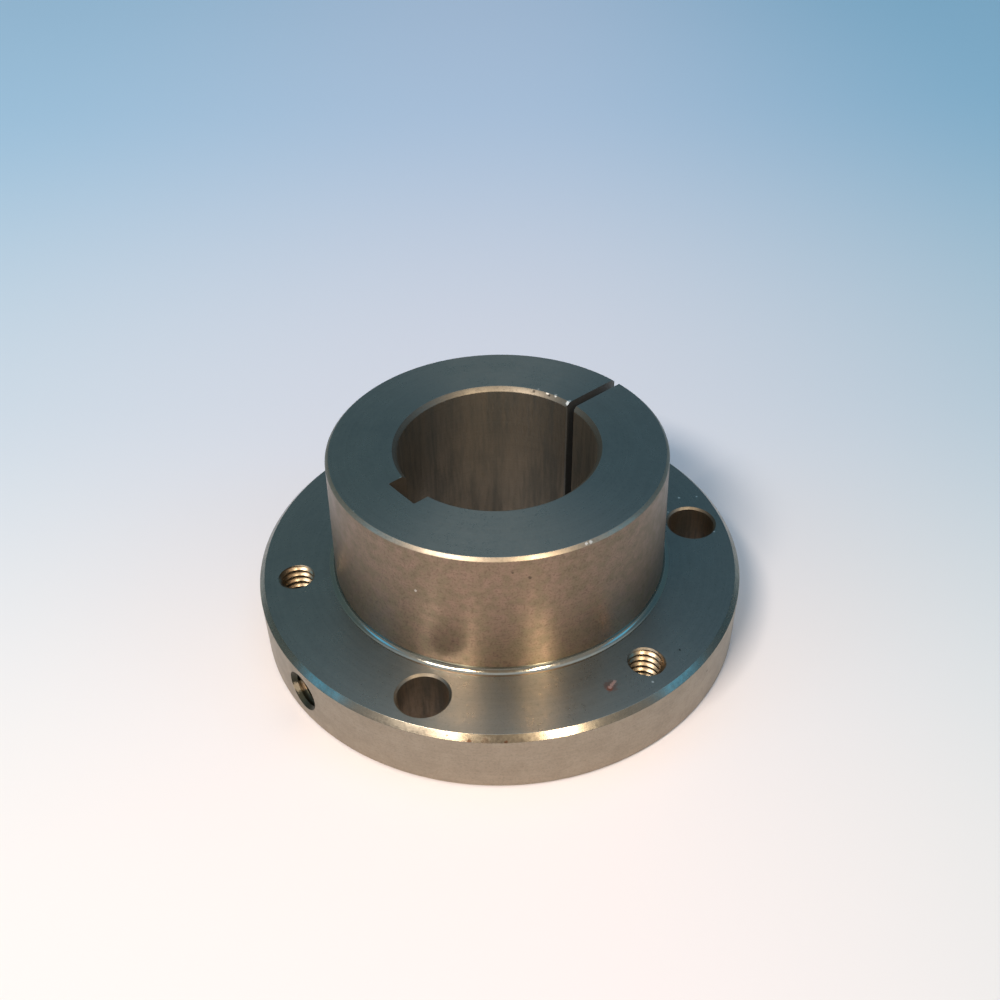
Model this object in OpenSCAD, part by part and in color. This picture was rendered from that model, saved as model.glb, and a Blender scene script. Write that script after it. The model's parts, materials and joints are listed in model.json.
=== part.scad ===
// Quick disconnect bushing: a flanged, split, tapered bushing that draws into a hub and grips a shaft.
// The origin is on the bore axis in the flange's flat outer face, and +Z runs towards the small end.
// The keyway and the set screw hole face +X, and the saw cut faces -X.

/* [Flange] */
// Width of the flange's ledge, from the foot of the barrel out to the rim
ledge_w = 12.7; // [11:0.05:18]
// Thickness of the flange
flange_t = 11.11; // [9.5:0.01:16]
// Leg of the 45 degree chamfer round the flange's inner face
flange_chamfer = 0.9; // [0.3:0.05:1.5]
// Leg of the edge break round the flange's outer face
flange_back_chamfer = 0.35; // [0.1:0.05:1]

/* [Barrel] */
// Diameter of the taper where it would meet the flange
barrel_d = 55.56; // [48:0.02:58]
// Length of the barrel above the flange
barrel_l = 22.23; // [16:0.01:40]
// Taper on diameter, in millimetres for each millimetre of length
taper = 0.0625; // [0.02:0.0025:0.1]
// Radius of the fillet between the barrel and the flange
root_r = 1; // [0.4:0.1:1.6]
// Leg of the edge break at the barrel's small end
barrel_chamfer = 0.5; // [0.2:0.05:1]

/* [Bore] */
// Diameter of the bore
bore_d = 31.75; // [22:0.05:34]
// Leg of the 45 degree chamfer at both ends of the bore
bore_chamfer = 0.7; // [0.2:0.05:1.2]
// Width of the keyway
key_w = 6.35; // [4:0.05:8]
// Depth of the keyway below the bore, measured on its centre line
key_depth = 2.97; // [1.5:0.01:4]
// Width of the saw cut that splits the barrel and the flange
saw_w = 1.59; // [0.8:0.01:3]

/* [Holes in the flange] */
// Number of holes in each set
hole_count = 3; // [2:1:3]
// Angle from the keyway to the first plain hole
first_hole_angle = 30; // [25:1:35]
// Diameter of the plain holes for the cap screws
clear_d = 7.94; // [6.6:0.02:8.6]
// Leg of the edge break at the plain holes
clear_chamfer = 0.35; // [0.1:0.05:0.6]

/* [Threads] */
// Outside diameter of the thread in the jacking holes and the set screw hole
thread_d = 6.35; // [5:0.05:7]
// Pitch of that thread
thread_pitch = 1.27; // [0.8:0.01:1.4]

/* [Hidden] */

$fn = 96;

// Overrun of a cutter past the face that it opens
over = 1;
barrel_r = barrel_d / 2;
flange_r = barrel_r + ledge_w;
bore_r = bore_d / 2;
total_l = flange_t + barrel_l;

// The bolt circle runs along the middle of the ledge
bolt_circle_r = barrel_r + ledge_w / 2;

// The wall leans in by taper_run for each millimetre of height
taper_run = taper / 2;
lean = atan(taper_run);
barrel_end_r = barrel_r - barrel_l * taper_run;

// A tap drill takes out the thread's outside diameter less one pitch
tap_r = (thread_d - thread_pitch) / 2;
tap_mouth_r = thread_d / 2;
hole_step = 360 / hole_count;
key_floor = bore_r + key_depth;
steel = [0.43, 0.41, 0.38];

// Radius of the tapered wall at height z
function wall_r(z) = barrel_r - (z - flange_t) * taper_run;

// Half section of the flange and the tapered barrel, as turned before drilling
module blank_outline() {
    polygon([
        [0, 0],
        [flange_r - flange_back_chamfer, 0],
        [flange_r, flange_back_chamfer],
        [flange_r, flange_t - flange_chamfer],
        [flange_r - flange_chamfer, flange_t],
        [barrel_r, flange_t],
        [wall_r(total_l - barrel_chamfer), total_l - barrel_chamfer],
        [barrel_end_r - barrel_chamfer, total_l],
        [0, total_l]
    ]);
}

// Fillet that is tangent to the leaning wall and to the flange's inner face
module root_outline() {
    centre_z = flange_t + root_r;
    centre_r = wall_r(centre_z) + root_r / cos(lean);
    touch_r = centre_r - root_r * cos(lean);
    touch_z = centre_z - root_r * sin(lean);
    difference() {
        polygon([
            [barrel_r - root_r, flange_t - root_r],
            [centre_r, flange_t - root_r],
            [centre_r, centre_z],
            [touch_r, touch_z],
            [barrel_r - root_r, touch_z]
        ]);
        translate([centre_r, centre_z]) circle(r = root_r);
    }
}

// Turned blank
module blank() {
    rotate_extrude() {
        union() {
            blank_outline();
            root_outline();
        }
    }
}

// Cutter for a hole along +Z from z = 0 to z = depth, with a 45 degree break of the given leg at both mouths
module hole_cutter(r, depth, leg) {
    rotate_extrude() {
        polygon([
            [0, -over],
            [r + leg + over, -over],
            [r, leg],
            [r, depth - leg],
            [r + leg + over, depth + over],
            [0, depth + over]
        ]);
    }
}

// Bore through the barrel and the flange, with its keyway
module bore_cutter() {
    hole_cutter(bore_r, total_l, bore_chamfer);
    translate([0, -key_w / 2, -over]) cube([key_floor, key_w, total_l + 2 * over]);
}

// Saw cut through one side, from the bore out through the rim
module saw_cutter() {
    translate([-flange_r - over, -saw_w / 2, -over])
        cube([flange_r + over, saw_w, total_l + 2 * over]);
}

// Holes spaced evenly on the bolt circle, starting at the angle first
module hole_ring(first) {
    for (i = [0:hole_count - 1])
        rotate([0, 0, first + i * hole_step]) translate([bolt_circle_r, 0, 0]) children();
}

// Plain hole for a cap screw
module clear_cutter() {
    hole_cutter(clear_d / 2, flange_t, clear_chamfer);
}

// Tapped hole at its tap drill size, opened at both mouths to the thread's outside diameter
module tapped_cutter() {
    hole_cutter(tap_r, flange_t, tap_mouth_r - tap_r);
}

// Set screw hole, tapped from the rim into the keyway halfway up the flange
module set_screw_cutter() {
    inner_x = (bore_r + key_floor) / 2;
    mouth_leg = tap_mouth_r - tap_r;
    translate([inner_x, 0, flange_t / 2]) rotate([0, 90, 0]) rotate_extrude() {
        polygon([
            [0, 0],
            [tap_r, 0],
            [tap_r, flange_r - mouth_leg - inner_x],
            [tap_mouth_r + over, flange_r + over - inner_x],
            [0, flange_r + over - inner_x]
        ]);
    }
}

// The bushing, turned, bored, drilled, tapped and split
module bushing() {
    color(steel) difference() {
        blank();
        bore_cutter();
        saw_cutter();
        hole_ring(first_hole_angle) clear_cutter();
        hole_ring(first_hole_angle + hole_step / 2) tapped_cutter();
        set_screw_cutter();
    }
}

bushing();
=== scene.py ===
"""A quick disconnect bushing of machined steel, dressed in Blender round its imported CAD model.

Everything is in the CAD model's frame: the bore runs along +Z from the flange's outer face, the keyway
and the set screw hole face +X, and the saw cut faces -X. Lengths are in metres unless a name ends in _mm.
"""
import json
import logging
import math
from dataclasses import dataclass
from enum import Enum
from typing import Callable, Optional, Union

import bmesh
import bpy
from mathutils import Matrix, Vector


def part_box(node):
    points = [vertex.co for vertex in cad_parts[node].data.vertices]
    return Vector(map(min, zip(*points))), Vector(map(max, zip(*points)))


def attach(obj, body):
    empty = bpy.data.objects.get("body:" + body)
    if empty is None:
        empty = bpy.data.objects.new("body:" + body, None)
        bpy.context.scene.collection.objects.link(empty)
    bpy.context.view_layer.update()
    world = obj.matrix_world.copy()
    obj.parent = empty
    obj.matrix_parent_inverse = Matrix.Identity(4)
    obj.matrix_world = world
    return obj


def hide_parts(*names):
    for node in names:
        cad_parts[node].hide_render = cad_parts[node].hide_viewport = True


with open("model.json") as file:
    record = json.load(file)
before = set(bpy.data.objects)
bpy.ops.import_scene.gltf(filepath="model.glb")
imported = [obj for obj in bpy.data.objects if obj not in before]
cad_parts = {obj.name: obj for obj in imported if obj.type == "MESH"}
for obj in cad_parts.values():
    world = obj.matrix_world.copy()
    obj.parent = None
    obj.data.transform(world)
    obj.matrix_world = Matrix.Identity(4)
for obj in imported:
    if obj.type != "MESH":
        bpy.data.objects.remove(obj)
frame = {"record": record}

LOG = logging.getLogger("bushing")
MM = 0.001
OVER = 1.0 * MM
NODE = "bushing"
BODY = "root"
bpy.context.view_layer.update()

Colour = tuple[float, float, float]
Span = tuple[float, float]
Value = Union["Signal", float, int]

# Heights of the two faces that carry marks: the flange's inner face and the barrel's small end
LEDGE_MM = 11.11
TOP_MM = 33.34

SPECK: Colour = (0.85, 0.83, 0.80)
BARE: Colour = (0.62, 0.60, 0.56)
RUST: Colour = (0.36, 0.12, 0.075)
SCORCH: Colour = (0.22, 0.12, 0.10)
CHIP: Colour = (0.80, 0.50, 0.43)
STAIN: Colour = (0.12, 0.06, 0.035)
PIT: Colour = (0.02, 0.017, 0.014)
# Painted highlight: pale and brown colours of the light streak painted along the set screw hole's wall
PAINTED_STREAK_PALE: Colour = (0.40, 0.34, 0.24)
PAINTED_STREAK_BROWN: Colour = (0.34, 0.24, 0.15)

# Angles in degrees from the keyway
FIRST_PLAIN_HOLE = 30.0
HOLE_COUNT = 3
PLAIN_MOUTH_LEG = 0.35 * MM

# A Mix node's colour sockets share their names with its other sockets, so they go by number
MIX_FIRST = 6
MIX_SECOND = 7
MIX_RESULT = 2


class Lay(Enum):
    """Way in which a tool leaves its marks on a surface."""

    RINGS = "rings round the bore axis"
    FEED = "steps along the bore axis"
    STROKES = "strokes along the bore axis"
    THREAD = "no marks but the thread's own"


class Surface(Enum):
    """Surfaces of the bushing that were cut by different tools, in the order of their material slots."""

    FACED = "faced"
    EDGE = "broken_edge"
    LIP = "hole_lip"
    RIM = "rim"
    TAPER = "taper"
    ROOT = "root"
    BORED = "bored"
    DRILLED = "drilled"
    TAPPED = "tapped"
    BROACHED = "broached"
    SAWN = "sawn"
    BURR = "burr"
    OILED = "screw_hole_painted_shade"


class Signal:
    """One output socket of a shader node, with the operators that add Math nodes to its graph."""

    def __init__(self, graph: "Graph", socket: bpy.types.NodeSocket) -> None:
        """Keeps the socket and the graph that it belongs to."""
        self.graph = graph
        self.socket = socket

    def _math(self, operation: str, first: Value, second: Value = 0.0, third: Value = 0.0) -> "Signal":
        """Adds a Math node.

        Args:
            operation: The node's operation.
            first: Its first value or link.
            second: Its second value or link.
            third: Its third value or link.

        Returns:
            The node's result.
        """
        node = self.graph.add("ShaderNodeMath", {"operation": operation}, {0: first, 1: second, 2: third})
        return Signal(self.graph, node.outputs[0])

    def __add__(self, other: Value) -> "Signal":
        """Sum."""
        return self._math("ADD", self, other)

    def __radd__(self, other: Value) -> "Signal":
        """Sum with the number first."""
        return self._math("ADD", other, self)

    def __sub__(self, other: Value) -> "Signal":
        """Difference."""
        return self._math("SUBTRACT", self, other)

    def __rsub__(self, other: Value) -> "Signal":
        """Difference with the number first."""
        return self._math("SUBTRACT", other, self)

    def __mul__(self, other: Value) -> "Signal":
        """Product."""
        return self._math("MULTIPLY", self, other)

    def __rmul__(self, other: Value) -> "Signal":
        """Product with the number first."""
        return self._math("MULTIPLY", other, self)

    def __truediv__(self, other: Value) -> "Signal":
        """Quotient."""
        return self._math("DIVIDE", self, other)

    def __pow__(self, other: Value) -> "Signal":
        """Power."""
        return self._math("POWER", self, other)

    def smooth(self, low: float, high: float) -> "Signal":
        """Rises smoothly from 0 at low to 1 at high.

        Args:
            low: Value at which the result is 0.
            high: Value at which the result is 1, which may be below low.

        Returns:
            The smoothed step.
        """
        node = self.graph.add(
            "ShaderNodeMapRange",
            {"interpolation_type": "SMOOTHSTEP"},
            {"Value": self, "From Min": low, "From Max": high, "To Min": 0.0, "To Max": 1.0},
        )
        return Signal(self.graph, node.outputs["Result"])


class Graph:
    """Node tree of a material or a world, and the one way in which a node is added to it."""

    ROUGHNESS = 0.55

    def __init__(self, tree: bpy.types.NodeTree) -> None:
        """Empties the tree."""
        self.tree = tree
        self.tree.nodes.clear()

    def add(self, kind: str, settings: dict[str, object], sockets: dict[object, object]) -> bpy.types.Node:
        """Adds a node.

        Args:
            kind: The node's type.
            settings: Properties of the node, which are set first.
            sockets: Values or links of its input sockets, by name or number.

        Returns:
            The new node.
        """
        node = self.tree.nodes.new(kind)
        for name, value in settings.items():
            setattr(node, name, value)
        for key, value in sockets.items():
            if isinstance(value, Signal):
                self.tree.links.new(value.socket, node.inputs[key])
            else:
                node.inputs[key].default_value = value
        return node

    def signal(
        self, kind: str, settings: dict[str, object], sockets: dict[object, object], out: object
    ) -> Signal:
        """Adds a node and gives one of its outputs.

        Args:
            kind: The node's type.
            settings: Properties of the node.
            sockets: Values or links of its input sockets.
            out: Name or number of the output.

        Returns:
            That output.
        """
        return Signal(self, self.add(kind, settings, sockets).outputs[out])

    def mix(self, factor: Value, first: object, second: object, blend: str = "MIX") -> Signal:
        """Mixes two colours.

        Args:
            factor: Share of the second colour.
            first: Colour at a factor of 0.
            second: Colour at a factor of 1.
            blend: Blend type of the node.

        Returns:
            The mixed colour.
        """
        first = first if isinstance(first, Signal) else (*first, 1.0)
        second = second if isinstance(second, Signal) else (*second, 1.0)
        return self.signal(
            "ShaderNodeMix",
            {"data_type": "RGBA", "blend_type": blend},
            {"Factor": factor, MIX_FIRST: first, MIX_SECOND: second},
            MIX_RESULT,
        )

    def vector(self, x: Value, y: Value, z: Value) -> Signal:
        """Joins three numbers into a vector."""
        return self.signal("ShaderNodeCombineXYZ", {}, {"X": x, "Y": y, "Z": z}, "Vector")

    def noise(self, place: Signal, scale: float, detail: float, turn: Optional[Value] = None) -> Signal:
        """Adds a noise texture, of four dimensions where turn is given.

        Args:
            place: Vector that the noise is read at.
            scale: Number of its features in a unit of that vector.
            detail: Number of finer layers.
            turn: Fourth coordinate.

        Returns:
            The noise, from 0 to 1.
        """
        sockets: dict[object, object] = {
            "Vector": place,
            "Scale": scale,
            "Detail": detail,
            "Roughness": self.ROUGHNESS,
        }
        if turn is not None:
            sockets["W"] = turn
        settings = {"noise_dimensions": "3D" if turn is None else "4D"}
        return self.signal("ShaderNodeTexNoise", settings, sockets, "Fac")


@dataclass(frozen=True)
class ScarAndPaintedStreak:
    """Small mark, placed by angle, radius and height, with its reach, its colour and its strength: a real
    nick, stain or pit, or a painted highlight streak.
    """

    angle: float
    radius_mm: float
    height_mm: float
    reach_mm: float
    colour: Colour
    strength: float = 1.0


@dataclass(frozen=True)
class Finish:
    """Finish of one machined surface of the steel."""

    SPOT_RAGGEDNESS = 1.2
    SPOT_CORE = 0.55

    surface: Surface
    base: Colour
    film: Colour
    roughness: float
    lay: Lay
    metallic: float = 1.0
    anisotropy: float = 0.0
    mark_mm: float = 0.25
    mark_depth: float = 0.25
    mark_tone: float = 0.12
    film_size_mm: float = 7.0
    film_share: float = 0.6
    film_stretch: float = 1.0
    speckle: float = 0.2
    speckle_mm: float = 0.35
    grain_tone: float = 0.06
    pit: Colour = PIT
    scars_and_painted_streaks: tuple[ScarAndPaintedStreak, ...] = ()
    fine_share: float = 0.35
    film_edges: Span = (0.34, 0.66)
    speck_edges: Span = (0.52, 0.72)
    film_mean: float = 0.3
    film_roughens: float = 0.10
    grain_roughens: float = 0.12
    bump_strength: float = 0.6
    bump_mm: float = 0.02
    ring_wander: float = 0.7
    feed_break_mm: float = 4.0
    stroke_mm: float = 12.0

    def material(self) -> bpy.types.Material:
        """Builds the finish as a material.

        Returns:
            The material, whose patterns are set out in Object coordinates.
        """
        material = bpy.data.materials.new(f"steel_{self.surface.value}")
        material.use_nodes = True
        graph = Graph(material.node_tree)
        place = graph.signal("ShaderNodeTexCoord", {}, {}, "Object")
        split = graph.add("ShaderNodeSeparateXYZ", {}, {"Vector": place})
        x, y, z = (Signal(graph, split.outputs[axis]) for axis in ("X", "Y", "Z"))
        marks = self._marks(graph, x, y, z)

        # The film lies in large soft clouds with a finer cloud inside them
        size = self.film_size_mm * MM
        drawn = graph.vector(x, y, z / self.film_stretch)
        cloud = graph.noise(drawn, 1.0 / size, 3.0)
        fine = graph.noise(drawn, 5.0 / size, 4.0)
        clouds = cloud * (1.0 - self.fine_share) + fine * self.fine_share
        film = clouds.smooth(*self.film_edges) * self.film_share
        colour = graph.mix(film, self.base, self.film)

        # Dark specks, then marks and grain that make the colour a little lighter and darker about its mean
        grain = graph.noise(place, 1.0 / (self.speckle_mm * MM), 2.0)
        specks = grain.smooth(*self.speck_edges) * self.speckle
        colour = graph.mix(specks, colour, self.pit)
        tone = 1.0 + (marks - 0.5) * (2.0 * self.mark_tone) + (grain - 0.5) * (4.0 * self.grain_tone)
        colour = graph.mix(1.0, colour, graph.vector(tone, tone, tone), "MULTIPLY")
        for spot in self.scars_and_painted_streaks:
            colour = self._spotted(graph, place, colour, spot)

        roughness = self.roughness + (film - self.film_mean) * self.film_roughens
        roughness = roughness + (grain - 0.5) * self.grain_roughens
        depth = marks * self.mark_depth + grain * (0.25 * self.mark_depth)
        relief = {"Strength": self.bump_strength, "Distance": self.bump_mm * MM, "Height": depth}
        bump = graph.signal("ShaderNodeBump", {}, relief, "Normal")
        shader = graph.add(
            "ShaderNodeBsdfPrincipled",
            {},
            {
                "Base Color": colour,
                "Metallic": self.metallic,
                "Roughness": roughness,
                "Anisotropic": self.anisotropy,
                "Anisotropic Rotation": 0.25,
                "Normal": bump,
            },
        )
        out = Signal(graph, shader.outputs["BSDF"])
        graph.add("ShaderNodeOutputMaterial", {}, {"Surface": out})
        return material

    def _marks(self, graph: Graph, x: Signal, y: Signal, z: Signal) -> Signal:
        """Lays out the tool's marks.

        Args:
            graph: The material's graph.
            x: Object coordinate X.
            y: Object coordinate Y.
            z: Object coordinate Z.

        Returns:
            The height of the marks, from 0 to 1.
        """
        pitch = self.mark_mm * MM
        if self.lay is Lay.RINGS:
            radius = (x * x + y * y) ** 0.5
            around = graph.vector(x / radius * self.ring_wander, y / radius * self.ring_wander, z / pitch)
            return graph.noise(around, 1.0, 2.0, radius / pitch)
        if self.lay is Lay.FEED:
            across = self.feed_break_mm * MM
            return graph.noise(graph.vector(x / across, y / across, z / pitch), 1.0, 2.0)
        if self.lay is Lay.STROKES:
            return graph.noise(graph.vector(x / pitch, y / pitch, z / (self.stroke_mm * MM)), 1.0, 2.0)
        return graph.noise(graph.vector(x, y, z), 1.0 / pitch, 1.0)

    def _spotted(self, graph: Graph, place: Signal, colour: Signal, spot: ScarAndPaintedStreak) -> Signal:
        """Adds one small mark to the colour: a real nick, stain or pit, or a painted highlight streak.

        Args:
            graph: The material's graph.
            place: Object coordinates.
            colour: The colour so far.
            spot: The mark.

        Returns:
            The colour with the mark.
        """
        angle, radius = math.radians(spot.angle), spot.radius_mm
        centre = Vector((radius * math.cos(angle), radius * math.sin(angle), spot.height_mm)) * MM
        away = graph.signal(
            "ShaderNodeVectorMath", {"operation": "DISTANCE"}, {0: place, 1: tuple(centre)}, "Value"
        )
        edge = graph.noise(place, 2.0 / (spot.reach_mm * MM), 2.0) - 0.5
        ragged = away + edge * (self.SPOT_RAGGEDNESS * spot.reach_mm * MM)
        mask = ragged.smooth(spot.reach_mm * MM, self.SPOT_CORE * spot.reach_mm * MM) * spot.strength
        return graph.mix(mask, colour, spot.colour)


FINISHES: tuple[Finish, ...] = (
    Finish(
        Surface.FACED,
        base=(0.255, 0.275, 0.262),
        film=(0.195, 0.222, 0.220),
        roughness=0.31,
        lay=Lay.RINGS,
        metallic=0.95,
        anisotropy=0.7,
        film_size_mm=5.0,
        scars_and_painted_streaks=(
            ScarAndPaintedStreak(161.5, 34.9, LEDGE_MM, 0.28, SPECK),
            ScarAndPaintedStreak(160.1, 38.0, LEDGE_MM, 0.22, SPECK),
            ScarAndPaintedStreak(145.2, 37.4, LEDGE_MM, 0.22, SPECK),
            ScarAndPaintedStreak(156.5, 31.3, LEDGE_MM, 0.20, SPECK, 0.7),
            ScarAndPaintedStreak(86.6, 37.8, LEDGE_MM, 0.22, SPECK),
            ScarAndPaintedStreak(77.6, 34.96, LEDGE_MM, 1.30, SCORCH, 0.6),
            ScarAndPaintedStreak(77.0, 35.3, LEDGE_MM, 0.60, RUST, 0.8),
            ScarAndPaintedStreak(77.3, 35.15, LEDGE_MM, 0.38, CHIP, 0.8),
            ScarAndPaintedStreak(78.0, 34.9, LEDGE_MM, 0.38, CHIP, 0.8),
            ScarAndPaintedStreak(78.7, 34.7, LEDGE_MM, 0.36, CHIP, 0.7),
            ScarAndPaintedStreak(79.3, 34.5, LEDGE_MM, 0.34, CHIP, 0.6),
            ScarAndPaintedStreak(98.8, 36.5, LEDGE_MM, 0.20, PIT),
            ScarAndPaintedStreak(183.3, 16.75, TOP_MM, 0.40, SPECK),
            ScarAndPaintedStreak(-10.6, 16.8, TOP_MM, 0.35, BARE, 0.7),
            ScarAndPaintedStreak(-155.0, 16.9, TOP_MM, 0.22, BARE),
            ScarAndPaintedStreak(-166.5, 16.8, TOP_MM, 0.28, BARE),
            ScarAndPaintedStreak(-3.0, 26.6, TOP_MM, 0.25, BARE, 0.8),
        ),
    ),
    Finish(
        Surface.EDGE,
        base=(0.300, 0.268, 0.216),
        film=(0.200, 0.188, 0.153),
        roughness=0.22,
        lay=Lay.RINGS,
        anisotropy=0.4,
        mark_mm=0.2,
        speckle=0.1,
        film_size_mm=2.4,
        film_share=0.8,
        scars_and_painted_streaks=(
            ScarAndPaintedStreak(38.6, 40.1, 10.75, 0.22, PIT),
            ScarAndPaintedStreak(43.2, 40.4, 10.30, 0.38, STAIN, 0.9),
            ScarAndPaintedStreak(46.5, 40.4, 10.30, 0.80, STAIN, 0.35),
            ScarAndPaintedStreak(50.7, 40.4, 10.30, 0.36, STAIN, 0.9),
        ),
    ),
    Finish(
        Surface.LIP,
        base=(0.165, 0.150, 0.124),
        film=(0.120, 0.112, 0.096),
        roughness=0.52,
        lay=Lay.RINGS,
        anisotropy=0.3,
        mark_mm=0.2,
        speckle=0.25,
        scars_and_painted_streaks=(
            ScarAndPaintedStreak(183.3, 16.4, 33.1, 0.55, SPECK),
            ScarAndPaintedStreak(-153.0, 16.3, 33.1, 0.30, PIT, 0.7),
            ScarAndPaintedStreak(-161.5, 16.5, 33.3, 0.30, BARE),
            ScarAndPaintedStreak(-163.0, 16.3, 33.1, 0.25, PIT, 0.7),
            ScarAndPaintedStreak(-167.0, 16.5, 33.3, 0.26, BARE),
        ),
    ),
    Finish(
        Surface.RIM,
        base=(0.335, 0.290, 0.230),
        film=(0.270, 0.232, 0.185),
        roughness=0.42,
        lay=Lay.RINGS,
        metallic=0.95,
        anisotropy=0.6,
        speckle=0.12,
        grain_tone=0.16,
        film_size_mm=3.0,
        scars_and_painted_streaks=(
            ScarAndPaintedStreak(77.4, 26.8, 33.1, 0.28, SPECK, 0.8),
            ScarAndPaintedStreak(79.0, 26.8, 33.1, 0.30, SPECK, 0.7),
            ScarAndPaintedStreak(102.0, 40.48, 7.2, 0.25, PIT, 0.8),
        ),
    ),
    Finish(
        Surface.TAPER,
        base=(0.285, 0.200, 0.153),
        film=(0.193, 0.160, 0.107),
        roughness=0.38,
        lay=Lay.RINGS,
        metallic=0.95,
        anisotropy=0.65,
        speckle=0.22,
        speckle_mm=0.34,
        grain_tone=0.36,
        film_size_mm=1.7,
        film_share=0.8,
        scars_and_painted_streaks=(
            ScarAndPaintedStreak(54.0, 27.2, 30.8, 0.22, PIT, 0.6),
            ScarAndPaintedStreak(59.1, 27.2, 29.6, 0.34, PIT, 0.6),
            ScarAndPaintedStreak(23.5, 27.3, 25.2, 0.26, SPECK, 0.5),
        ),
    ),
    Finish(
        Surface.ROOT,
        base=(0.365, 0.330, 0.265),
        film=(0.225, 0.262, 0.258),
        roughness=0.155,
        lay=Lay.RINGS,
        anisotropy=0.5,
        speckle=0.1,
    ),
    Finish(
        Surface.BORED,
        base=(0.310, 0.272, 0.220),
        film=(0.115, 0.120, 0.112),
        roughness=0.42,
        lay=Lay.RINGS,
        metallic=0.95,
        anisotropy=0.5,
        mark_mm=0.3,
        film_size_mm=3.5,
        film_share=0.9,
        film_stretch=8.0,
    ),
    Finish(
        Surface.DRILLED,
        base=(0.42, 0.34, 0.26),
        film=(0.17, 0.168, 0.150),
        roughness=0.40,
        lay=Lay.FEED,
        mark_mm=0.5,
        mark_depth=0.4,
        film_size_mm=1.8,
        film_share=0.9,
        film_stretch=8.0,
    ),
    Finish(
        Surface.TAPPED,
        base=(0.310, 0.255, 0.185),
        film=(0.130, 0.112, 0.080),
        roughness=0.32,
        lay=Lay.THREAD,
        mark_mm=0.4,
        film_size_mm=1.6,
        film_share=0.9,
        mark_depth=0.08,
        speckle=0.0,
    ),
    Finish(
        Surface.BROACHED,
        base=(0.30, 0.25, 0.195),
        film=(0.20, 0.165, 0.130),
        roughness=0.45,
        lay=Lay.STROKES,
        mark_mm=0.3,
    ),
    Finish(
        Surface.SAWN,
        base=(0.150, 0.158, 0.160),
        film=(0.095, 0.102, 0.105),
        roughness=0.56,
        lay=Lay.STROKES,
        metallic=0.95,
        mark_mm=0.4,
        mark_depth=0.5,
    ),
    Finish(
        Surface.BURR,
        base=(0.34, 0.34, 0.32),
        film=(0.24, 0.24, 0.225),
        roughness=0.42,
        lay=Lay.STROKES,
        metallic=0.95,
        mark_mm=0.3,
    ),
    # Painted shade: the set screw hole, thread and mouth alike, is coloured near black for the shade
    # inside it, and its two spots paint the highlight streak along its wall
    Finish(
        Surface.OILED,
        base=(0.046, 0.046, 0.032),
        film=(0.028, 0.030, 0.022),
        roughness=0.45,
        lay=Lay.STROKES,
        film_size_mm=1.5,
        scars_and_painted_streaks=(
            ScarAndPaintedStreak(-3.6, 39.8, 4.0, 1.15, PAINTED_STREAK_PALE, 0.9),
            ScarAndPaintedStreak(-3.2, 38.9, 3.9, 0.90, PAINTED_STREAK_BROWN, 0.9),
        ),
    ),
)


def activate(piece: bpy.types.Object) -> None:
    """Selects one object alone and makes it active."""
    bpy.ops.object.select_all(action="DESELECT")
    piece.select_set(True)
    bpy.context.view_layer.objects.active = piece


class Bench:
    """Edit mode on one mesh, with faces and edges selected by their place or normal."""

    RADIUS_SLACK = 0.02 * MM
    HEIGHT_SLACK = 0.002 * MM

    def __init__(self, piece: bpy.types.Object) -> None:
        """Keeps the piece to work on."""
        self.piece = piece

    def __enter__(self) -> "Bench":
        """Enters edit mode."""
        activate(self.piece)
        bpy.ops.object.mode_set(mode="EDIT")
        bpy.ops.mesh.select_mode(type="VERT")
        return self

    def __exit__(self, *_: object) -> None:
        """Returns to object mode."""
        bpy.ops.object.mode_set(mode="OBJECT")

    def faces(self, test: Callable[[bmesh.types.BMFace], bool]) -> int:
        """Selects the faces that pass a test, and nothing else.

        Args:
            test: The test on a face.

        Returns:
            The number of faces selected.
        """
        bpy.ops.mesh.select_mode(type="FACE")
        bpy.ops.mesh.select_all(action="DESELECT")
        work = bmesh.from_edit_mesh(self.piece.data)
        found = [face for face in work.faces if test(face)]
        for face in found:
            face.select = True
        bmesh.update_edit_mesh(self.piece.data)
        return len(found)

    def edges(self, test: Callable[[bmesh.types.BMEdge], bool]) -> int:
        """Selects the edges that pass a test, and nothing else.

        Args:
            test: The test on an edge.

        Returns:
            The number of edges selected.
        """
        bpy.ops.mesh.select_mode(type="EDGE")
        bpy.ops.mesh.select_all(action="DESELECT")
        work = bmesh.from_edit_mesh(self.piece.data)
        found = [edge for edge in work.edges if test(edge)]
        for edge in found:
            edge.select = True
        bmesh.update_edit_mesh(self.piece.data)
        return len(found)

    def ring(self, radius: float, height: float) -> int:
        """Selects the ring of edges at a radius and height.

        Args:
            radius: Distance from the Z axis.
            height: Place along the Z axis.

        Returns:
            The number of edges selected.
        """

        def on_ring(edge: bmesh.types.BMEdge) -> bool:
            """Says whether both ends of an edge are on the ring."""
            return all(
                abs(math.hypot(v.co.x, v.co.y) - radius) < self.RADIUS_SLACK
                and abs(v.co.z - height) < self.HEIGHT_SLACK
                for v in edge.verts
            )

        return self.edges(on_ring)

    def assign(self, surface: Surface, test: Callable[[bmesh.types.BMFace], bool]) -> None:
        """Gives a surface's finish to the faces that pass a test.

        Args:
            surface: The surface.
            test: The test on a face.
        """
        if self.faces(test):
            self.piece.active_material_index = self.piece.material_slots.find(f"steel_{surface.value}")
            bpy.ops.object.material_slot_assign()


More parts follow.
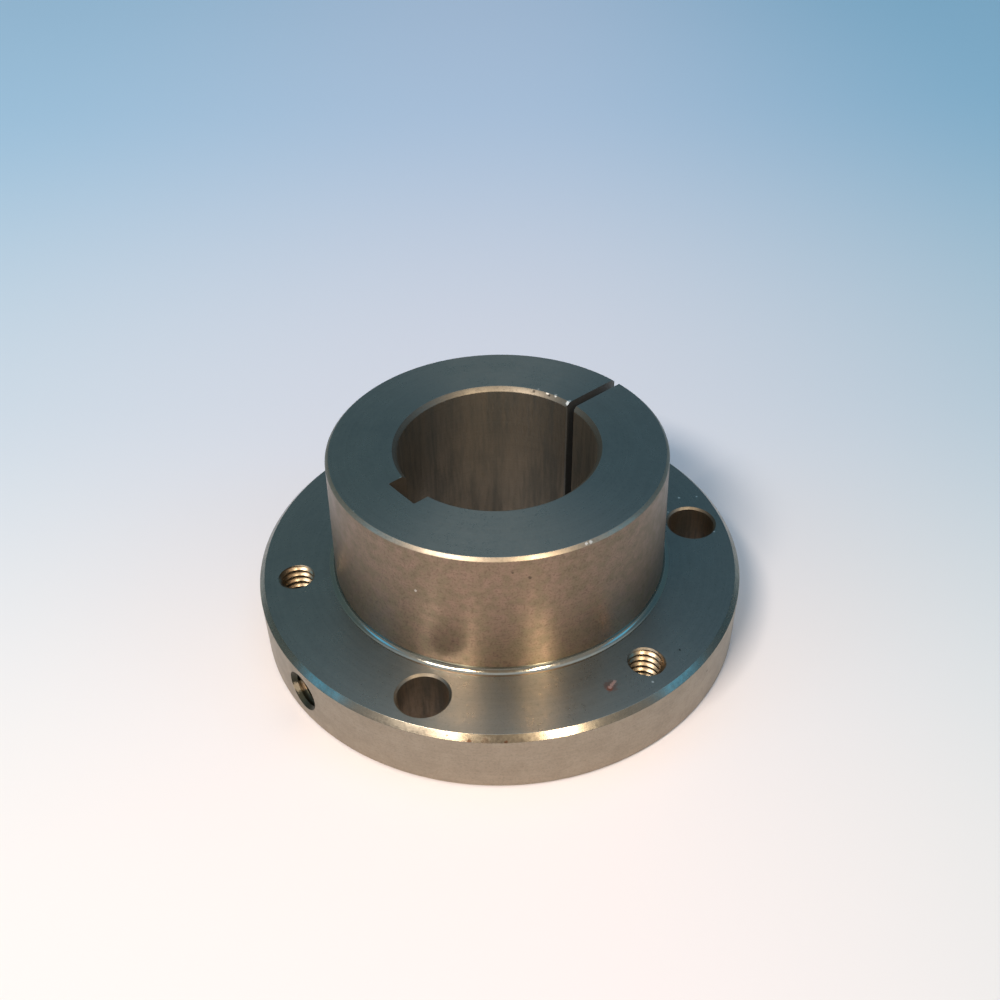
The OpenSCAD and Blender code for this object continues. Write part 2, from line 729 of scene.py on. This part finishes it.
@dataclass
class Workshop:
    """The finishes as materials, and the steps that every cutter shares."""

    materials: dict[Surface, bpy.types.Material]

    def dress(self, piece: bpy.types.Object, *surfaces: Surface) -> None:
        """Gives a piece the slots of its finishes, the first of which covers it.

        Args:
            piece: The object.
            surfaces: Its surfaces.
        """
        piece.data.materials.clear()
        for surface in surfaces:
            piece.data.materials.append(self.materials[surface])

    def settle(self, piece: bpy.types.Object) -> None:
        """Applies the place, turn and size of an object to its mesh."""
        activate(piece)
        bpy.ops.object.transform_apply(location=True, rotation=True, scale=True)

    def turned_copy(self, piece: bpy.types.Object, angle: float) -> bpy.types.Object:
        """Copies an object and turns the copy about the bore axis.

        Args:
            piece: The object, whose origin is the frame's.
            angle: Angle in degrees.

        Returns:
            The copy, with its own mesh.
        """
        activate(piece)
        bpy.ops.object.duplicate()
        copy = bpy.context.active_object
        copy.rotation_euler.z = math.radians(angle)
        self.settle(copy)
        return copy

    def combine(self, piece: bpy.types.Object, tool: bpy.types.Object, operation: str) -> None:
        """Joins a solid to a piece, or cuts it out of the piece, which takes over its finishes.

        Args:
            piece: The piece.
            tool: The other closed solid, which is removed.
            operation: UNION or DIFFERENCE.
        """
        activate(piece)
        modifier = piece.modifiers.new("combine", "BOOLEAN")
        modifier.operation = operation
        modifier.solver = "EXACT"
        modifier.material_mode = "TRANSFER"
        modifier.object = tool
        bpy.ops.object.modifier_apply(modifier=modifier.name)
        self.discard(tool)

    def discard(self, piece: bpy.types.Object) -> None:
        """Removes an object and its mesh."""
        mesh = piece.data
        bpy.data.objects.remove(piece)
        bpy.data.meshes.remove(mesh)


@dataclass
class TurnedBlank:
    """Flange, tapered barrel and bore, as they come off the lathe."""

    flange_r: float
    total_l: float
    bore_r: float
    flange_t: float = LEDGE_MM * MM
    ledge_w: float = 12.70 * MM
    taper: float = 0.0625
    flange_chamfer: float = 0.9 * MM
    back_chamfer: float = 0.35 * MM
    barrel_chamfer: float = 0.5 * MM
    bore_chamfer: float = 0.7 * MM
    root_r: float = 1.0 * MM
    root_steps: int = 8
    softening: float = 0.06 * MM
    soft_steps: int = 2
    sharp_angle: float = 30.0
    segments: int = 256

    @property
    def barrel_r(self) -> float:
        """Radius of the taper at the flange."""
        return self.flange_r - self.ledge_w

    @property
    def barrel_end_r(self) -> float:
        """Radius of the taper at the small end."""
        return self.barrel_r - (self.total_l - self.flange_t) * self.taper / 2.0

    def build(self, shop: Workshop) -> bpy.types.Object:
        """Turns the blank.

        Args:
            shop: The workshop.

        Returns:
            The blank, with a finish on each of its surfaces.
        """
        bpy.ops.object.select_all(action="DESELECT")
        bpy.ops.mesh.primitive_cylinder_add(
            vertices=self.segments,
            radius=self.flange_r,
            depth=self.flange_t,
            end_fill_type="NGON",
            location=(0.0, 0.0, self.flange_t / 2.0),
        )
        blank = bpy.context.active_object
        blank.name = "quick_disconnect_bushing"
        shop.settle(blank)
        shop.dress(
            blank,
            Surface.FACED,
            Surface.EDGE,
            Surface.LIP,
            Surface.RIM,
            Surface.TAPER,
            Surface.ROOT,
            Surface.BORED,
        )
        with Bench(blank) as bench:
            self._shape(bench)
            self._assign(bench)
            self._break_edges(bench)
        return blank

    def _shape(self, bench: Bench) -> None:
        """Draws the barrel up from the flange and opens the bore.

        Args:
            bench: Edit mode on the flange's disc.
        """
        bench.faces(lambda f: f.normal.z > 0.9)
        bpy.ops.mesh.inset(thickness=self.ledge_w)
        bpy.ops.mesh.extrude_region_move(
            TRANSFORM_OT_translate={"value": (0.0, 0.0, self.total_l - self.flange_t)}
        )
        shrink = self.barrel_end_r / self.barrel_r
        bpy.ops.transform.resize(value=(shrink, shrink, 1.0), center_override=(0.0, 0.0, self.total_l))
        bpy.ops.mesh.inset(thickness=self.barrel_end_r - self.bore_r)
        bpy.ops.mesh.delete(type="ONLY_FACE")
        bench.faces(lambda f: f.normal.z < -0.9)
        bpy.ops.mesh.inset(thickness=self.flange_r - self.bore_r)
        bpy.ops.mesh.delete(type="ONLY_FACE")
        bench.edges(lambda e: e.is_boundary)
        bpy.ops.mesh.bridge_edge_loops()
        bpy.ops.mesh.select_all(action="SELECT")
        bpy.ops.mesh.normals_make_consistent(inside=False)

    def _assign(self, bench: Bench) -> None:
        """Gives each turned surface its finish.

        Args:
            bench: Edit mode on the blank.
        """

        def reach(face: bmesh.types.BMFace) -> float:
            """Distance of a face's first corner from the axis."""
            corner = face.verts[0].co
            return math.hypot(corner.x, corner.y)

        middle = (self.flange_r + self.barrel_r) / 2.0
        inner = (self.barrel_end_r + self.bore_r) / 2.0
        bench.assign(Surface.RIM, lambda f: abs(f.normal.z) < 0.5 and reach(f) > middle)
        bench.assign(Surface.TAPER, lambda f: abs(f.normal.z) < 0.5 and inner < reach(f) < middle)
        bench.assign(Surface.BORED, lambda f: abs(f.normal.z) < 0.5 and reach(f) < inner)

    def _break_edges(self, bench: Bench) -> None:
        """Chamfers the edges, fills the barrel's foot with its fillet and takes the last sharpness off.

        Args:
            bench: Edit mode on the blank.
        """
        edge, lip, rim, root = (
            bench.piece.material_slots.find(f"steel_{surface.value}")
            for surface in (Surface.EDGE, Surface.LIP, Surface.RIM, Surface.ROOT)
        )
        chamfers = (
            (self.flange_r, self.flange_t, self.flange_chamfer, edge),
            (self.flange_r, 0.0, self.back_chamfer, edge),
            (self.bore_r, self.total_l, self.bore_chamfer, lip),
            (self.bore_r, 0.0, self.bore_chamfer, lip),
            (self.barrel_end_r, self.total_l, self.barrel_chamfer, rim),
        )
        for radius, height, leg, slot in chamfers:
            bench.ring(radius, height)
            bpy.ops.mesh.bevel(offset=leg, segments=1, affect="EDGES", material=slot)
        bench.ring(self.barrel_r, self.flange_t)
        bpy.ops.mesh.bevel(
            offset=self.root_r, segments=self.root_steps, profile=0.5, affect="EDGES", material=root
        )
        bench.edges(
            lambda e: len(e.link_faces) == 2 and math.degrees(e.calc_face_angle(0.0)) > self.sharp_angle
        )
        bpy.ops.mesh.bevel(offset=self.softening, segments=self.soft_steps, profile=0.5, affect="EDGES")


@dataclass
class Keyway:
    """Broached keyway, through from end to end."""

    bore_r: float
    length: float
    depth: float = 2.97 * MM
    width: float = 6.35 * MM
    corner_r: float = 0.25 * MM
    corner_steps: int = 3

    @property
    def floor_x(self) -> float:
        """Distance of the floor from the bore axis."""
        return self.bore_r + self.depth

    def cutter(self, shop: Workshop) -> bpy.types.Object:
        """Makes the keyway's cutter.

        Args:
            shop: The workshop.

        Returns:
            The cutter.
        """
        bpy.ops.object.select_all(action="DESELECT")
        bpy.ops.mesh.primitive_cube_add(size=1.0, location=(self.floor_x / 2.0, 0.0, self.length / 2.0))
        cutter = bpy.context.active_object
        cutter.scale = (self.floor_x, self.width, self.length + 2.0 * OVER)
        shop.settle(cutter)
        with Bench(cutter) as bench:
            bench.edges(lambda e: all(v.co.x > 0.9 * self.floor_x for v in e.verts) and self._upright(e))
            bpy.ops.mesh.bevel(offset=self.corner_r, segments=self.corner_steps, affect="EDGES")
        shop.dress(cutter, Surface.BROACHED)
        return cutter

    def _upright(self, edge: bmesh.types.BMEdge) -> bool:
        """Says whether an edge runs along Z."""
        return abs(edge.verts[0].co.z - edge.verts[1].co.z) > self.length


@dataclass
class SawCut:
    """Cut that splits the barrel and the flange on one side."""

    reach: float
    length: float
    bore_r: float
    width: float = 1.59 * MM
    burr: float = 0.18 * MM

    def cutter(self, shop: Workshop) -> bpy.types.Object:
        """Makes the saw cut's cutter.

        Args:
            shop: The workshop.

        Returns:
            The cutter.
        """
        bpy.ops.object.select_all(action="DESELECT")
        bpy.ops.mesh.primitive_cube_add(size=1.0, location=(-self.reach / 2.0, 0.0, self.length / 2.0))
        cutter = bpy.context.active_object
        cutter.scale = (self.reach + 2.0 * OVER, self.width, self.length + 2.0 * OVER)
        shop.settle(cutter)
        shop.dress(cutter, Surface.SAWN)
        return cutter

    def burr_cutter(self, shop: Workshop) -> bpy.types.Object:
        """Makes the four-sided cutter that breaks the cut's two edges in the bore.

        Args:
            shop: The workshop.

        Returns:
            The cutter.
        """
        bpy.ops.object.select_all(action="DESELECT")
        bpy.ops.mesh.primitive_cylinder_add(
            vertices=4,
            radius=self.width / 2.0 + self.burr,
            depth=self.length + 2.0 * OVER,
            end_fill_type="NGON",
            location=(-self.bore_r, 0.0, self.length / 2.0),
        )
        cutter = bpy.context.active_object
        shop.settle(cutter)
        shop.dress(cutter, Surface.BURR)
        return cutter


@dataclass
class HoleRing:
    """Holes spaced evenly on the bolt circle."""

    circle_r: float
    hole_r: float
    count: int
    first_angle: float
    depth: float
    leg: float
    surface: Surface

    def angles(self) -> list[float]:
        """Angles of the holes, in degrees."""
        return [self.first_angle + i * 360.0 / self.count for i in range(self.count)]

    def cutters(self, shop: Workshop, thread: Optional[bpy.types.Object] = None) -> list[bpy.types.Object]:
        """Makes a cutter for each hole, opened at both mouths by its edge break.

        Args:
            shop: The workshop.
            thread: Threaded cutter along Z to join to the hole's, where it is tapped.

        Returns:
            The cutters.
        """
        first = cone_cutter(shop, self.hole_r, 0.0, self.depth, self.leg, self.surface)
        if thread is not None:
            shop.combine(first, thread, "UNION")
        first.location.x = self.circle_r
        shop.settle(first)
        made = [shop.turned_copy(first, angle) for angle in self.angles()]
        shop.discard(first)
        return made


def cone_cutter(
    shop: Workshop,
    radius: float,
    low: float,
    high: float,
    leg: float,
    surface: Surface,
    sides: tuple[float, ...] = (1.0, -1.0),
    mouth: Surface = Surface.LIP,
    segments: int = 72,
) -> bpy.types.Object:
    """Makes a cutter for a hole along Z whose mouths are opened at 45 degrees.

    Args:
        shop: The workshop.
        radius: Radius of the hole.
        low: Height of the lower face.
        high: Height of the upper face.
        leg: Leg of the edge break at each face.
        surface: Finish of the hole's wall.
        sides: Ends with a mouth, 1 for the upper and -1 for the lower.
        mouth: Finish of the edge breaks.
        segments: Sides of the cutter.

    Returns:
        The cutter, with its origin at the frame's.
    """
    bpy.ops.object.select_all(action="DESELECT")
    bpy.ops.mesh.primitive_cylinder_add(
        vertices=segments,
        radius=radius,
        depth=high - low - 2.0 * leg,
        end_fill_type="NGON",
        location=(0.0, 0.0, (low + high) / 2.0),
    )
    cutter = bpy.context.active_object
    shop.settle(cutter)
    shop.dress(cutter, surface, mouth)
    flare = (radius + leg + OVER) / radius
    with Bench(cutter) as bench:
        for side in sides:
            bench.faces(lambda f: f.normal.z * side > 0.9)
            rise = (0.0, 0.0, side * (leg + OVER))
            bpy.ops.mesh.extrude_region_move(TRANSFORM_OT_translate={"value": rise})
            bpy.ops.transform.resize(value=(flare, flare, 1.0), center_override=(0.0, 0.0, 0.0))
        bench.assign(mouth, lambda f: 0.3 < abs(f.normal.z) < 0.95)
    return cutter


@dataclass
class Tap:
    """Right-hand thread cutter for an inside thread."""

    outer_r: float = 3.175 * MM
    pitch: float = 1.27 * MM
    half_angle: float = 30.0
    corner: float = 0.10 * MM
    corner_share: float = 0.75
    core_gap: float = 0.3 * MM
    mouth_step: float = 0.25 * MM
    merge: float = 0.0005 * MM
    trim: float = 0.0001 * MM
    steps: int = 48

    @property
    def inner_r(self) -> float:
        """Radius of the tap drill."""
        return self.outer_r - self.pitch / 2.0

    @property
    def core_r(self) -> float:
        """Radius of the plain core that joins the thread's mouths and stays inside its crests."""
        return self.inner_r - self.core_gap

    def _profile(self) -> list[tuple[float, float]]:
        """Lays out one pitch of the thread, from crest to crest, with its corners broken.

        Returns:
            The steps outwards and along the axis.
        """
        rise = self.outer_r - self.inner_r
        half = math.radians(self.half_angle)
        flank = rise * math.tan(half)
        root = self.pitch / 8.0
        crest = self.pitch - 2.0 * flank - root
        out, along = self.corner * math.sin(half), self.corner * math.cos(half)
        land = (crest / 2.0) - self.corner * self.corner_share
        slope = ((rise - out), flank + crest / 2.0 - land - along)
        back = (-slope[0], slope[1])
        return [(0.0, land), (out, along), slope, (0.0, root), back, (-out, along), (0.0, land)]

    def cutter(self, shop: Workshop, low: float, high: float, surface: Surface) -> bpy.types.Object:
        """Makes a threaded cutter along Z.

        Args:
            shop: The workshop.
            low: Height of its lower end.
            high: Height of its upper end.
            surface: Its finish.

        Returns:
            The cutter, with its origin at the frame's.
        """
        turns = math.ceil((high - low) / self.pitch) + 2
        bpy.ops.object.select_all(action="DESELECT")
        bpy.ops.mesh.primitive_plane_add(size=MM)
        cutter = bpy.context.active_object
        with Bench(cutter):
            bpy.ops.mesh.select_all(action="SELECT")
            bpy.ops.mesh.merge(type="CENTER")
            bpy.ops.mesh.select_all(action="SELECT")
            bpy.ops.transform.translate(value=(self.inner_r, 0.0, low - self.pitch))
            for out, along in self._profile():
                bpy.ops.mesh.extrude_region_move(TRANSFORM_OT_translate={"value": (out, 0.0, along)})
        screw = cutter.modifiers.new("thread", "SCREW")
        screw.axis = "Z"
        screw.angle = math.tau
        screw.screw_offset = self.pitch
        screw.iterations = turns
        screw.steps = self.steps
        screw.render_steps = self.steps
        screw.use_merge_vertices = False
        activate(cutter)
        bpy.ops.object.modifier_apply(modifier=screw.name)
        with Bench(cutter):
            bpy.ops.mesh.select_all(action="SELECT")
            bpy.ops.mesh.remove_doubles(threshold=self.merge)
            bpy.ops.mesh.select_all(action="SELECT")
            trim = {"plane_no": (0.0, 0.0, 1.0), "use_fill": True, "threshold": self.trim}
            bpy.ops.mesh.bisect(plane_co=(0.0, 0.0, low), clear_inner=True, **trim)
            bpy.ops.mesh.select_all(action="SELECT")
            bpy.ops.mesh.bisect(plane_co=(0.0, 0.0, high), clear_outer=True, **trim)
            bpy.ops.mesh.select_all(action="SELECT")
            bpy.ops.mesh.normals_make_consistent(inside=False)
        # Half a step's turn keeps the thread's corners off the keyway's walls, as far from the hole's axis
        cutter.rotation_euler.z = math.pi / self.steps
        shop.settle(cutter)
        shop.dress(cutter, surface)
        return cutter


@dataclass
class Bushing:
    """The whole bushing: the turned blank, cut by its keyway, saw cut and holes."""

    MOUTH_LEGS = 4.0

    blank: TurnedBlank
    keyway: Keyway
    saw_cut: SawCut
    plain_holes: HoleRing
    jacking_holes: HoleRing
    tap: Tap
    screw_start_x: float
    screw_mouth_r: float = 3.5 * MM
    merge: float = 0.0008 * MM
    smooth_angle: float = 35.0
    normal_weight: int = 60

    def build(self, shop: Workshop) -> bpy.types.Object:
        """Makes the bushing.

        Args:
            shop: The workshop.

        Returns:
            The finished piece, which rides on the part's body and stands for its CAD node.
        """
        piece = self.blank.build(shop)
        thread = self.tap.cutter(shop, -OVER, self.jacking_holes.depth + OVER, Surface.TAPPED)
        cutters = [self.keyway.cutter(shop), self.saw_cut.cutter(shop), self.saw_cut.burr_cutter(shop)]
        cutters += [*self.plain_holes.cutters(shop), *self.jacking_holes.cutters(shop, thread)]
        cutters.append(self._screw_cutter(shop))
        for cutter in cutters:
            shop.combine(piece, cutter, "DIFFERENCE")
        self._finish(piece)
        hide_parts(NODE)
        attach(piece, BODY)
        return piece

    def _screw_cutter(self, shop: Workshop) -> bpy.types.Object:
        """Makes the cutter of the set screw hole, tapped from the keyway out through the rim.

        Args:
            shop: The workshop.

        Returns:
            The cutter.
        """
        rim = self.blank.flange_r
        ring = self.jacking_holes
        leg = self.screw_mouth_r - ring.hole_r
        # The set screw hole takes the near-black finish that paints the shade inside it
        cutter = self.tap.cutter(shop, self.screw_start_x, rim + OVER, Surface.OILED)
        # The mouth's cutter reaches back into the threaded one, which it joins
        low = rim - self.MOUTH_LEGS * leg
        mouth = cone_cutter(
            shop, ring.hole_r, low, rim, leg, Surface.OILED, sides=(1.0,), mouth=Surface.OILED
        )
        shop.combine(cutter, mouth, "UNION")
        cutter.rotation_euler.y = math.radians(90.0)
        cutter.location.z = self.blank.flange_t / 2.0
        shop.settle(cutter)
        return cutter

    def _finish(self, piece: bpy.types.Object) -> None:
        """Merges doubles and shades the piece.

        Args:
            piece: The bushing.
        """
        with Bench(piece):
            bpy.ops.mesh.select_all(action="SELECT")
            bpy.ops.mesh.remove_doubles(threshold=self.merge)
        activate(piece)
        bpy.ops.object.shade_smooth_by_angle(angle=math.radians(self.smooth_angle))
        weighted = piece.modifiers.new("normals", "WEIGHTED_NORMAL")
        weighted.keep_sharp = True
        weighted.weight = self.normal_weight
        bpy.ops.object.modifier_apply(modifier=weighted.name)


def heading(azimuth: float, elevation: float = 0.0) -> Vector:
    """Turns a direction given in degrees into a vector.

    Args:
        azimuth: Angle about the Z axis from +X.
        elevation: Angle above the floor.

    Returns:
        The vector, of length 1.
    """
    turn, rise = math.radians(azimuth), math.radians(elevation)
    return Vector((math.cos(turn) * math.cos(rise), math.sin(turn) * math.cos(rise), math.sin(rise)))


def along(graph: Graph, place: Signal, line: Vector) -> Signal:
    """Measures how far a place lies along a line, as a vector product."""
    settings = {"operation": "DOT_PRODUCT"}
    return graph.signal("ShaderNodeVectorMath", settings, {0: place, 1: tuple(line)}, "Value")


@dataclass(frozen=True)
class Lamp:
    """Soft lamp, placed by its angle from the camera, that may show only as a streak in the metal."""

    name: str
    turn: float
    elevation: float
    width: float
    height: float
    radiance: float
    colour: Colour
    streak: bool = False
    distance: float = 0.8

    def build(self, target: Vector, view_azimuth: float) -> None:
        """Adds the lamp, turned to the target.

        Args:
            target: Point that it shines at.
            view_azimuth: Azimuth of the camera in degrees.
        """
        way = heading(view_azimuth + self.turn, self.elevation)
        bpy.ops.object.select_all(action="DESELECT")
        bpy.ops.object.light_add(type="AREA", location=target + way * self.distance)
        lamp = bpy.context.active_object
        lamp.name = self.name
        lamp.rotation_euler = way.to_track_quat("Z", "Y").to_euler()
        lamp.data.shape = "RECTANGLE"
        lamp.data.size = self.width
        lamp.data.size_y = self.height
        lamp.data.energy = self.radiance * math.pi * self.width * self.height
        lamp.data.color = self.colour
        lamp.visible_diffuse = not self.streak


LAMPS: tuple[Lamp, ...] = (
    Lamp("lamp_left", -22.0, 42.0, 0.06, 0.36, 20.0, (1.0, 0.77, 0.53), streak=True),
    Lamp("lamp_right", 25.0, 42.0, 0.08, 0.36, 55.0, (1.0, 0.78, 0.55), streak=True),
    Lamp("lamp_panel", -36.5, 47.0, 0.29, 0.12, 48.0, (1.0, 0.86, 0.74)),
)


@dataclass(frozen=True)
class Floor:
    """Wide pale floor, pinkish white in front and pale blue at the back, with painted shade that makes it
    darker and bluer to the right and a little cooler to the left.
    """

    radius: float = 6.0
    drop: float = 0.02 * MM
    segments: int = 96
    roughness: float = 0.9
    near: Colour = (0.94, 0.865, 0.85)
    middle: Colour = (0.70, 0.72, 0.80)
    far: Colour = (0.50, 0.64, 0.82)
    outer: Colour = (0.76, 0.78, 0.80)
    right_painted_shade: Colour = (0.62, 0.86, 0.90)
    left_painted_shade: Colour = (0.82, 0.97, 0.98)
    middle_span: Span = (-0.06, 0.07)
    far_span: Span = (0.03, 0.26)
    painted_shade_reach: float = 0.20
    outer_span: Span = (0.42, 0.90)

    def build(self, view_azimuth: float) -> None:
        """Lays the floor.

        Args:
            view_azimuth: Azimuth of the camera in degrees.
        """
        bpy.ops.object.select_all(action="DESELECT")
        bpy.ops.mesh.primitive_circle_add(
            vertices=self.segments, radius=self.radius, fill_type="NGON", location=(0.0, 0.0, -self.drop)
        )
        floor = bpy.context.active_object
        floor.name = "floor"
        material = bpy.data.materials.new("floor_paper")
        material.use_nodes = True
        graph = Graph(material.node_tree)
        place = graph.signal("ShaderNodeTexCoord", {}, {}, "Object")
        depth = along(graph, place, -heading(view_azimuth))
        across = along(graph, place, heading(view_azimuth + 90.0))
        colour = graph.mix(depth.smooth(*self.middle_span), self.near, self.middle)
        colour = graph.mix(depth.smooth(*self.far_span), colour, self.far)
        # Painted shade: the floor is made darker and bluer towards the right and less red towards the left
        colour = graph.mix(across.smooth(0.0, self.painted_shade_reach), colour, self.right_painted_shade, "MULTIPLY")
        colour = graph.mix(across.smooth(0.0, -self.painted_shade_reach), colour, self.left_painted_shade, "MULTIPLY")
        away = graph.signal("ShaderNodeVectorMath", {"operation": "LENGTH"}, {0: place}, "Value")
        colour = graph.mix(away.smooth(*self.outer_span), colour, self.outer)
        paper = {"Base Color": colour, "Roughness": self.roughness, "Specular IOR Level": 0.0}
        shader = graph.add("ShaderNodeBsdfPrincipled", {}, paper)
        graph.add("ShaderNodeOutputMaterial", {}, {"Surface": Signal(graph, shader.outputs["BSDF"])})
        floor.data.materials.append(material)


@dataclass(frozen=True)
class Sky:
    """Soft light from all round, pale behind the camera and slate blue beyond the object."""

    front: Colour = (0.47, 0.46, 0.45)
    slate_left: Colour = (0.150, 0.225, 0.243)
    slate_right: Colour = (0.092, 0.192, 0.270)
    zenith: Colour = (0.80, 0.90, 1.00)
    shade: Colour = (0.36, 0.30, 0.24)
    opening: Colour = (0.28, 1.10, 1.85)
    seen: Colour = (0.72, 0.80, 0.88)
    slate_span: Span = (-0.45, 0.45)
    beyond_span: Span = (-0.56, 0.36)
    zenith_span: Span = (0.72, 0.95)
    shade_span: Span = (0.88, 0.97)
    opening_side: Span = (0.45, 0.62)
    opening_front: Span = (-0.36, -0.22)
    opening_back: Span = (0.06, -0.06)
    opening_foot: Span = (0.24, 0.38)

    def build(self, view_azimuth: float, view_elevation: float) -> None:
        """Makes the sky the scene's world.

        Args:
            view_azimuth: Azimuth of the camera in degrees.
            view_elevation: Its elevation.
        """
        world = bpy.data.worlds.new("sky")
        world.use_nodes = True
        bpy.context.scene.world = world
        graph = Graph(world.node_tree)
        way = graph.signal("ShaderNodeTexCoord", {}, {}, "Generated")
        height = Signal(graph, graph.add("ShaderNodeSeparateXYZ", {}, {"Vector": way}).outputs["Z"])
        beyond = along(graph, way, -heading(view_azimuth))
        across = along(graph, way, heading(view_azimuth + 90.0))
        slate = graph.mix(across.smooth(*self.slate_span), self.slate_left, self.slate_right)
        colour = graph.mix(beyond.smooth(*self.beyond_span), self.front, slate)
        colour = graph.mix(height.smooth(*self.zenith_span), colour, self.zenith)

        # The camera darkens the sky round it
        nearby = along(graph, way, heading(view_azimuth, view_elevation))
        colour = graph.mix(nearby.smooth(*self.shade_span), colour, self.shade)

        # A clear blue opening on either side gives the chamfer and the barrel's foot their blue glints
        side = (across * across).smooth(*self.opening_side) * beyond.smooth(*self.opening_front)
        side = side * beyond.smooth(*self.opening_back) * height.smooth(*self.opening_foot)
        colour = graph.mix(side, colour, self.opening)
        camera_ray = graph.signal("ShaderNodeLightPath", {}, {}, "Is Camera Ray")
        colour = graph.mix(camera_ray, colour, self.seen)
        back = graph.add("ShaderNodeBackground", {}, {"Color": colour, "Strength": 1.0})
        graph.add("ShaderNodeOutputWorld", {}, {"Surface": Signal(graph, back.outputs["Background"])})


@dataclass(frozen=True)
class Studio:
    """Floor, sky light, lamps and camera."""

    view_azimuth: float = 50.0
    view_elevation: float = 39.274
    roll: float = -1.108
    distance: float = 178.3 * MM
    lens_mm: float = 39.04
    sensor_mm: float = 36.0
    nearest: float = 1.0 * MM
    target_height: float = 21.87 * MM
    target_side: float = 0.30 * MM
    lamp_target_height: float = 15.0 * MM

    def build(self) -> None:
        """Sets up everything round the object."""
        self._camera()
        Floor().build(self.view_azimuth)
        Sky().build(self.view_azimuth, self.view_elevation)
        for lamp in LAMPS:
            lamp.build(Vector((0.0, 0.0, self.lamp_target_height)), self.view_azimuth)
        bpy.context.scene.view_settings.view_transform = "Standard"

    def _camera(self) -> None:
        """Stands the camera where the photograph was taken from."""
        out = heading(self.view_azimuth, self.view_elevation)
        right = heading(self.view_azimuth + 90.0)
        up = out.cross(right)
        turn = math.radians(self.roll)
        side = right * math.cos(turn) + up * math.sin(turn)
        head = up * math.cos(turn) - right * math.sin(turn)
        place = right * self.target_side + Vector((0.0, 0.0, self.target_height)) + out * self.distance
        bpy.ops.object.select_all(action="DESELECT")
        bpy.ops.object.camera_add()
        camera = bpy.context.active_object
        camera.name = "camera"
        camera.matrix_world = Matrix.Translation(place) @ Matrix((side, head, out)).transposed().to_4x4()
        camera.data.sensor_width = self.sensor_mm
        camera.data.lens = self.lens_mm
        camera.data.clip_start = self.nearest
        bpy.context.scene.camera = camera


def mount_size(name: str, size: str) -> float:
    """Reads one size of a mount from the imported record.

    Args:
        name: The mount's name.
        size: The size's name in its dims.

    Returns:
        The size in metres.
    """
    mount = next(m for m in frame["record"]["mounts"] if m["name"] == name)
    return mount["dims"][size] * MM


def design() -> Bushing:
    """Works out the bushing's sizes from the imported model.

    Returns:
        The bushing, ready to build.
    """
    low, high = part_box(NODE)
    bore_r = mount_size("bore", "r_mm")
    blank = TurnedBlank(flange_r=high.y, total_l=high.z - low.z, bore_r=bore_r)
    keyway = Keyway(bore_r=bore_r, length=blank.total_l)
    tap = Tap()
    circle_r = mount_size("cap_screw_holes", "pcd_mm") / 2.0
    return Bushing(
        blank=blank,
        keyway=keyway,
        saw_cut=SawCut(reach=blank.flange_r, length=blank.total_l, bore_r=bore_r),
        plain_holes=HoleRing(
            circle_r=circle_r,
            hole_r=mount_size("cap_screw_holes", "hole_r_mm"),
            count=HOLE_COUNT,
            first_angle=FIRST_PLAIN_HOLE,
            depth=blank.flange_t,
            leg=PLAIN_MOUTH_LEG,
            surface=Surface.DRILLED,
        ),
        jacking_holes=HoleRing(
            circle_r=circle_r,
            hole_r=tap.core_r,
            count=HOLE_COUNT,
            first_angle=FIRST_PLAIN_HOLE + 180.0 / HOLE_COUNT,
            depth=blank.flange_t,
            leg=tap.inner_r + tap.mouth_step - tap.core_r,
            surface=Surface.TAPPED,
        ),
        tap=tap,
        screw_start_x=(bore_r + keyway.floor_x) / 2.0,
    )


def main() -> None:
    """Builds the bushing and its studio, and reports each piece."""
    logging.basicConfig(level=logging.INFO, format="%(name)s: %(message)s")
    Studio().build()
    shop = Workshop({finish.surface: finish.material() for finish in FINISHES})
    piece = design().build(shop)
    triangles = sum(len(face.vertices) - 2 for face in piece.data.polygons)
    sizes = (len(piece.data.polygons), triangles, len(piece.material_slots))
    LOG.info("%s: %d faces, %d triangles, %d finishes", piece.name, *sizes)


if __name__ == "__main__":
    main()
